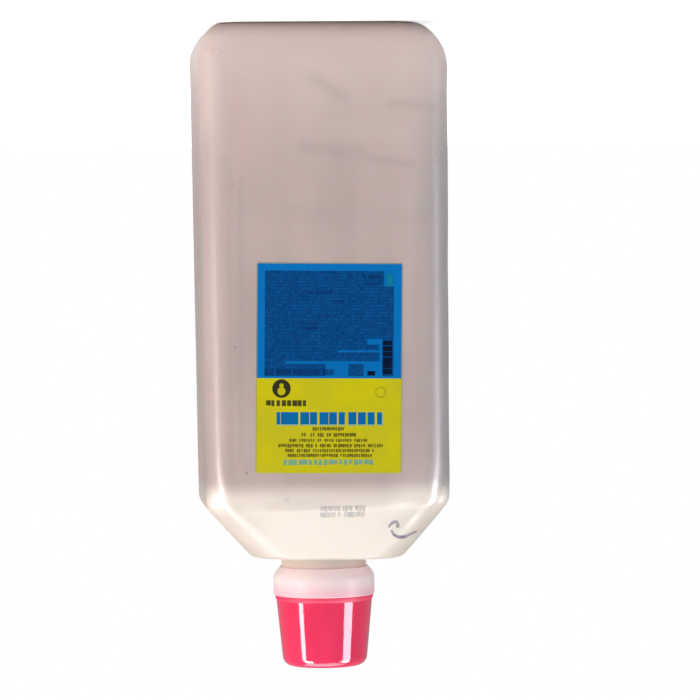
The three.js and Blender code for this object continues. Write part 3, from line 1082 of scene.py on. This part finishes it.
def bottle_plastic():
    """Milky soft plastic: beige where it is filled, cream above the fill, with painted light: a brighter band
    above the fill line and lighter towards the base for the floor's bounce light.
    """
    material, tree, shader = new_material("bottle plastic")
    place = object_place(tree)
    axes = axes_of(tree, place)
    color = mottled(tree, FILLED_COLOR, FILLED_SHADE, 34.0, 0.35)
    # Painted shade: the front corner towards -X is painted darker and greyer, as that side gets less light
    cool = ramp(tree, axes["X"], SHADED_SIDE_START, SHADED_SIDE_END)
    cool = times(tree, cool, ramp(tree, axes["Y"], SHADED_SIDE_BACK, SHADED_SIDE_FRONT))
    color = paint(tree, cool, color, SHADED_SIDE_COLOR)
    # Painted light: lighter towards the base, standing in for light bounced up from the floor
    color = paint(tree, ramp(tree, axes["Z"], BOUNCE_BAND_START, BOUNCE_BAND_END), color, BOUNCE_LIGHT_COLOR)
    wave = calc(tree, "MULTIPLY_ADD", grain(tree, place, 22.0), 5 * MM, axes["Z"])
    # Partly real, partly painted light: above the fill line the wall is cream like the headspace, and a band
    # there is painted brighter than the headspace's own colour
    color = paint(tree, ramp(tree, wave, FILL_START, FILL_END), color, LIT_COLOR)
    color = paint(tree, ramp(tree, wave, LIT_START, LIT_END), color, EMPTY_COLOR)
    color = paint(tree, ramp(tree, axes["Z"], SHOULDER_TOP, COLLAR_START), color, NECK_COLOR)
    # Painted shade along the creases and dents, and pink and pale streaks of tone
    for start, end, width, shade, strength in SMEARS:
        ends = {"Start": tuple(under_pixel(start)), "End": tuple(under_pixel(end))}
        mask = use(tree, SMEAR, "Mask", Place=place, Width=width, **ends)
        color = paint(tree, times(tree, mask, strength), color, shade)
    for pixel, radius, strength in SPECKS:
        centre = tuple(under_pixel(pixel))
        mask = use(tree, ROUND_MARK, "Mask", Place=place, Centre=centre, Radius=radius * 0.4, Softness=radius)
        color = paint(tree, times(tree, mask, strength), color, SPECK_COLOR)
    # Painted shade: a darker ring stands in for the shaded rim of a small mould dimple, which has no geometry
    centre = tuple(under_pixel(DIMPLE_PIXEL))
    ring = [
        use(
            tree, ROUND_MARK, "Mask", Place=place, Centre=centre,
            Radius=DIMPLE_RADIUS + step, Softness=0.3 * MM,
        )
        for step in (0.0, DIMPLE_RIM)
    ]
    ring = calc(tree, "SUBTRACT", ring[1], ring[0])
    color = paint(tree, times(tree, ring, 0.35), color, FILLED_COLOR)
    centre = tuple(under_pixel(CODE_PIXEL))
    code = use(tree, PRINT_PLACE, "Place", Centre=centre, Across=(-1, 0, 0), Down=(0, 0, 1))
    rows = use(
        tree, PRINTED_ROWS, "Mask", Place=code, Left=-10.2, Right=10.4, Top=-2.9, Bottom=3.0,
        Rows=2.0, Row_share=0.95, Pitch=0.95, Bar_share=1.0, Gaps=0.1, Seed=4.0,
    )
    rows = times(tree, rows, calc(tree, "LESS_THAN", axes["Y"], 0.0))
    color = paint(tree, times(tree, rows, 0.75), color, CODE_INK)
    feed(tree, color, shader.inputs["Base Color"])
    bare = ramp(tree, axes["Z"], SHOULDER_TOP, SHOULDER_TOP + NECK_ROOT_ROUND)
    matt = times(tree, bare, 0.4)
    add_skin(tree, shader, lines=0.5, pebbles=0.35, rough=0.34, worn=0.46, matt=matt)
    tight = times(
        tree, ramp(tree, axes["Z"], TIGHT_START, TIGHT_START + TIGHT_FADE),
        ramp(tree, axes["Z"], TIGHT_END + TIGHT_FADE, TIGHT_END),
    )
    coat = calc(tree, "MULTIPLY_ADD", tight, TIGHT_COAT - BOTTLE_COAT, BOTTLE_COAT)
    feed(tree, calc(tree, "MULTIPLY_ADD", bare, -BOTTLE_COAT, coat), shader.inputs["Coat Weight"])
    set_finish(shader, Subsurface_Weight=0.12, Subsurface_Scale=3 * MM, Coat_Roughness=0.29)
    return material


# Label print, in millimetres across and down from the label's centre: left, right, top, bottom
BLUE_FIELD = (-40, 40, -60, 4.7)
DARK_FIELD = (-29.6, 29.4, -44.3, 3.7)
RIM_BLUE_PATCHES = (
    (24.8, 30, -45, -37.2),
    (4.0, 23.7, -8.1, -7.2),
    (-20.0, 23.8, -3.1, -1.9),
    (-1.8, 8.7, -2.0, 3.8),
    (15.6, 24.2, -2.4, 3.8),
    (17.4, 24.2, -13.3, -10.7),
    (22.9, 24.2, -13.0, 3.8),
)
TEAL_PATCH = (26.0, 28.9, -42.8, -37.2)
NAVY_BARS = (
    (15.6, 24.4, -42.4, -40.7),
    (16.0, 23.0, -38.9, -38.0),
    (-9.5, 1.0, -34.9, -33.5),
    (1.9, 6.9, -30.9, -29.8),
    (-1.8, 1.2, -24.5, -23.4),
    (-12.3, -4.5, -20.8, -19.9),
    (-12.3, -5.5, -18.6, -17.4),
    (-29.6, 2.4, 0.5, 3.4),
)
BLACK_STRIPES = (24.4, 28.7, -12.6, 2.8)
BLACK_MARK = (17.4, 21.0, 1.3, 3.4)
HEADLINE = (-24.0, 24.2, 20.1, 25.7)
HEADLINE_SHADOW = (-23.5, 24.8, 20.7, 26.3)
DARK_ROWS = (
    (-7.7, 6.9, 26.9, 28.7),
    (-12.7, 12.4, 29.6, 31.4),
    (-18.2, 17.9, 32.3, 33.8),
    (-24.1, 24.7, 34.6, 36.3),
    (-20.0, 20.6, 36.9, 38.5),
    (-19.1, 19.7, 39.1, 40.7),
)
CYAN_ROW = (-23.2, 22.9, 41.7, 44.3)
EMBLEM_CENTRE = (-21.8, 9.4, 0)
EMBLEM_RADIUS = 4.1
DROP_CENTRE = (-21.8, 10.6, 0)
DROP_RADIUS = 1.7
DROP_TIP = (-21.8, 8.0, 0)
EMBLEM_BAR = (-29.4, -10.6, 14.7, 17.4)
RING_CENTRE = (23.6, 11.0, 0)
RING_RADIUS = 2.5
RING_WIDTH = 0.7

RIM_BLUE = (0.0004, 0.17, 0.52)
DARK_BLUE = (0.0003, 0.058, 0.22)
NAVY = (0.0005, 0.026, 0.125)
BLACK_BLUE = (0.0008, 0.008, 0.03)
TEAL = (0.004, 0.22, 0.24)
YELLOW = (0.63, 0.555, 0.006)
YELLOW_SHADE = (0.575, 0.51, 0.014)
DARK_INK = (0.035, 0.03, 0.012)
HEADLINE_BLUE = (0.002, 0.14, 0.38)
HEADLINE_PALE = (0.16, 0.42, 0.42)
CYAN = (0.10, 0.34, 0.31)
RING_INK = (0.30, 0.26, 0.01)
EDGE_GREEN = (0.33, 0.34, 0.13)


def label_film():
    """Printed film: a blue field over a yellow one, with bars and blocks where print was."""
    material, tree, shader = new_material("label film")
    centre = (LABEL_CENTRE[0], label_low[1], LABEL_CENTRE[1])
    place = use(
        tree, PRINT_PLACE, "Place", Centre=centre, Across=tuple(LABEL_ACROSS), Down=tuple(LABEL_DOWN)
    )

    def rows(field, count=1.0, share=1.3, pitch=400.0, bar=2.0, gaps=-1.0, seed=0.0):
        left, right, top, bottom = field
        return use(
            tree, PRINTED_ROWS, "Mask", Place=place, Left=left, Right=right, Top=top, Bottom=bottom,
            Rows=count, Row_share=share, Pitch=pitch, Bar_share=bar, Gaps=gaps, Seed=seed,
        )

    def patch(field):
        left, right, top, bottom = field
        return use(tree, PRINTED_PATCH, "Mask", Place=place, Left=left, Right=right, Top=top, Bottom=bottom)

    def disc(centre, radius):
        return use(tree, ROUND_MARK, "Mask", Place=place, Centre=centre, Radius=radius, Softness=0.25)

    def faded(mask, share):
        return times(tree, mask, share)

    color = mottled(tree, YELLOW, YELLOW_SHADE, 60.0)
    color = paint(tree, patch(BLUE_FIELD), color, RIM_BLUE)
    color = paint(tree, patch(DARK_FIELD), color, DARK_BLUE)
    fine = rows(DARK_FIELD, count=31.0, share=0.6, pitch=1.0, bar=0.8, gaps=0.35, seed=9.0)
    color = paint(tree, faded(fine, 0.28), color, RIM_BLUE)
    broad = rows(DARK_FIELD, count=31.0, share=0.8, pitch=2.7, bar=0.9, gaps=0.72, seed=2.0)
    color = paint(tree, faded(broad, 0.3), color, NAVY)
    for field in RIM_BLUE_PATCHES:
        color = paint(tree, faded(patch(field), 0.85), color, RIM_BLUE)
    color = paint(tree, faded(patch(TEAL_PATCH), 0.7), color, TEAL)
    for seed, bars in enumerate(NAVY_BARS):
        mask = rows(bars, share=1.1, pitch=1.1, bar=1.0, gaps=0.08, seed=20.0 + seed)
        color = paint(tree, faded(mask, 0.75), color, NAVY)
    color = paint(tree, rows(BLACK_STRIPES, count=6.0, share=1.05, gaps=0.05, seed=7.0), color, BLACK_BLUE)
    color = paint(tree, patch(BLACK_MARK), color, BLACK_BLUE)
    shadow = rows(HEADLINE_SHADOW, pitch=4.4, bar=0.98, share=1.3, seed=3.0)
    color = paint(tree, faded(shadow, 0.7), color, HEADLINE_PALE)
    color = paint(tree, rows(HEADLINE, pitch=4.4, bar=0.98, share=1.3, seed=3.0), color, HEADLINE_BLUE)
    for seed, field in enumerate(DARK_ROWS):
        mask = rows(field, share=1.0, pitch=1.05, bar=0.95, gaps=0.12, seed=40.0 + seed)
        color = paint(tree, faded(mask, 0.8), color, DARK_INK)
    cyan = rows(CYAN_ROW, share=1.0, pitch=2.3, bar=0.95, gaps=0.13, seed=5.0)
    color = paint(tree, faded(cyan, 0.8), color, CYAN)
    color = paint(tree, disc(EMBLEM_CENTRE, EMBLEM_RADIUS), color, DARK_INK)
    drop = calc(tree, "MAXIMUM", disc(DROP_CENTRE, DROP_RADIUS), disc(DROP_TIP, DROP_RADIUS * 0.5))
    color = paint(tree, faded(drop, 0.9), color, YELLOW)
    bar = rows(EMBLEM_BAR, share=1.1, pitch=2.4, bar=0.95, seed=6.0)
    color = paint(tree, faded(bar, 0.95), color, DARK_INK)
    ring = calc(tree, "SUBTRACT", disc(RING_CENTRE, RING_RADIUS), disc(RING_CENTRE, RING_RADIUS - RING_WIDTH))
    color = paint(tree, faded(ring, 0.6), color, RING_INK)
    edge = 0.45
    half_width, half_height = LABEL_HALF[0] / MM, LABEL_HALF[1] / MM
    inner = (edge - half_width, half_width - edge, edge - half_height, half_height)
    rim = calc(tree, "SUBTRACT", 1.0, patch(inner))
    color = paint(tree, faded(rim, 0.75), color, EDGE_GREEN)
    feed(tree, color, shader.inputs["Base Color"])
    add_skin(tree, shader, lines=0.15, pebbles=0.25, rough=0.38, worn=0.5)
    set_finish(shader, Specular_IOR_Level=0.04)
    return material


COLLAR_PALE = (0.99, 0.80, 0.78)
COLLAR_COOL = (0.95, 0.74, 0.77)
CAP_LIGHT_PINK = (1.0, 0.54, 0.62)
CAP_LIGHT_REACH = 7.5 * MM


def collar_plastic():
    """Natural translucent plastic, with the cap's pink reflected light painted on the skirt next to it."""
    material, tree, shader = new_material("collar plastic")
    place = object_place(tree)
    axes = axes_of(tree, place)
    color = mottled(tree, COLLAR_PALE, COLLAR_COOL, 75.0, 2.0)
    wave = calc(tree, "MULTIPLY_ADD", grain(tree, place, 60.0), 3 * MM, axes["Z"])
    # Painted reflection: the cap's pink light on the collar's skirt just below the deck
    share = ramp(tree, wave, DECK_TOP - CAP_LIGHT_REACH + 1.5 * MM, DECK_TOP + 2.5 * MM)
    share = times(tree, share, ramp(tree, axes["Z"], DECK_TOP, DECK_TOP - 0.5 * MM))
    color = paint(tree, share, color, CAP_LIGHT_PINK)
    feed(tree, color, shader.inputs["Base Color"])
    add_skin(tree, shader, lines=0.3, pebbles=0.2, rough=0.34, worn=0.46)
    set_finish(shader, Subsurface_Weight=0.2, Subsurface_Scale=3 * MM, Specular_IOR_Level=0.3)
    return material


CAP_RED = (0.95, 0.033, 0.13)
CAP_RED_SHADE = (0.88, 0.028, 0.11)
CAP_COAT = 0.6
RIM_DULL_END = DECK_TOP + CAP_RIM_HEIGHT + 0.2 * MM
RIM_DULL_FADE = 0.5 * MM


def cap_plastic():
    """Pinkish red glossy plastic with very faint flow lines and handling scuffs, duller on the rim."""
    material, tree, shader = new_material("cap plastic")
    place = object_place(tree)
    axes = axes_of(tree, place)
    dull = ramp(tree, axes["Z"], RIM_DULL_END + RIM_DULL_FADE, RIM_DULL_END)
    color = mottled(tree, CAP_RED, CAP_RED_SHADE, 90.0, 0.4)
    feed(tree, color, shader.inputs["Base Color"])
    matt = times(tree, dull, 0.5)
    add_skin(tree, shader, lines=0.06, pebbles=0.02, rough=0.06, worn=0.1, matt=matt)
    feed(tree, calc(tree, "MULTIPLY_ADD", dull, -CAP_COAT, CAP_COAT), shader.inputs["Coat Weight"])
    set_finish(shader, Subsurface_Weight=0.1, Subsurface_Scale=2 * MM, Coat_Roughness=0.02)
    return material


# Plain materials: colour, its clouds' shade, their fineness, then lines, pebbles, roughness, worn roughness
SEAL_FOAM = ((0.82, 0.80, 0.76), (0.74, 0.73, 0.70), 900.0, (0.0, 2.0, 0.75, 0.9))
VALVE_SILICONE = ((0.80, 0.77, 0.73), (0.74, 0.71, 0.68), 160.0, (0.1, 0.3, 0.4, 0.55))
PEN_INK = ((0.13, 0.09, 0.14), (0.34, 0.27, 0.34), 420.0, (0.2, 0.4, 0.5, 0.65))


def plain_material(name, color, shade, scale, skin, **finish):
    material, tree, shader = new_material(name)
    feed(tree, mottled(tree, color, shade, scale), shader.inputs["Base Color"])
    add_skin(tree, shader, *skin)
    set_finish(shader, **finish)
    return material


def dress(piece, material):
    piece.data.materials.clear()
    piece.data.materials.append(material)


dress(bottle, bottle_plastic())
dress(label, label_film())
dress(collar, collar_plastic())
dress(cap, cap_plastic())
dress(seal, plain_material("seal foam", *SEAL_FOAM))
silicone = plain_material("valve silicone", *VALVE_SILICONE, Subsurface_Weight=0.3, Subsurface_Scale=2 * MM)
dress(valve, silicone)
dress(pen_stroke, plain_material("pen ink", *PEN_INK))


# Light, floor and background

def add_softbox(name, place, aim, size, watts, color=(1, 1, 1), only=None):
    data = bpy.data.lights.new(name, "AREA")
    data.shape = "RECTANGLE"
    data.size, data.size_y = size
    data.energy = watts
    data.color = color
    lamp = bpy.data.objects.new(name, data)
    lamp.location = place
    direction = Vector(aim) - Vector(place)
    lamp.rotation_euler = direction.to_track_quat("-Z", "Y").to_euler()
    lamp.visible_camera = False
    lamp.visible_diffuse = only != "gloss"
    lamp.visible_glossy = only != "diffuse"
    bpy.context.scene.collection.objects.link(lamp)


add_softbox("overhead softbox", (0.05, -0.15, 1.3), (0, 0, 0.25), (1.2, 0.8), 11.5)
add_softbox("front fill", (0.1, -1.5, 0.7), (0, 0, 0.15), (1.2, 1.2), 4, only="diffuse")
add_softbox(
    "warm side softbox", (1.15, -0.25, 0.5), (0, 0, 0.15), (0.5, 0.8), 6.5, (1.0, 0.93, 0.85), "diffuse",
)
add_softbox(
    "cool side softbox", (-1.1, -0.5, 0.5), (0, 0, 0.15), (0.5, 0.8), 1.8, (0.72, 0.92, 1.0), "diffuse",
)
add_softbox("left strip", (1.15, -0.55, 0.75), (0, 0, 0.25), (0.27, 1.1), 11.5, only="gloss")
add_softbox("right strip", (-1.05, -0.68, 0.75), (0, 0, 0.25), (0.52, 1.1), 20, (0.97, 0.88, 1.0), "gloss")
add_softbox("left high softbox", (0.78, -0.55, 1.1), (0, 0, 0.22), (0.35, 0.35), 12, only="gloss")
add_softbox("right high softbox", (-0.86, -0.4, 1.1), (0, 0, 0.22), (0.35, 0.35), 12, only="gloss")


WORLD_LEVEL = 0.30
FLOOR_GLOW = 0.6
FLOOR_FADE_START = 0.4
FLOOR_FADE_END = 1.4


def light_world():
    world = bpy.data.worlds.new("studio")
    bpy.context.scene.world = world
    world.use_nodes = True
    tree = world.node_tree
    background = tree.nodes["Background"]
    background.inputs["Color"].default_value = (1, 1, 1, 1)
    strength = add_node(tree, "MapRange")
    strength.inputs["To Min"].default_value = WORLD_LEVEL
    feed(tree, add_node(tree, "LightPath").outputs["Is Camera Ray"], strength.inputs["Value"])
    feed(tree, strength.outputs["Result"], background.inputs["Strength"])


def add_floor():
    bpy.ops.mesh.primitive_plane_add(size=6, location=(0, 0, 0))
    floor = bpy.context.object
    floor.name = "floor"
    material, tree, shader = new_material("floor white")
    shader.inputs["Base Color"].default_value = (0.9, 0.9, 0.9, 1)
    set_finish(shader, Roughness=1.0, Specular_IOR_Level=0.0)
    shader.inputs["Emission Color"].default_value = (1, 1, 1, 1)
    distance = vector_calc(tree, "DISTANCE", object_place(tree), (0, 0, 0), "Value")
    glow = ramp(tree, distance, FLOOR_FADE_START, FLOOR_FADE_END, FLOOR_GLOW, 1.0)
    seen = add_node(tree, "LightPath").outputs["Is Camera Ray"]
    feed(tree, times(tree, seen, glow), shader.inputs["Emission Strength"])
    floor.data.materials.append(material)


light_world()
add_floor()
bpy.context.scene.view_settings.view_transform = "Standard"
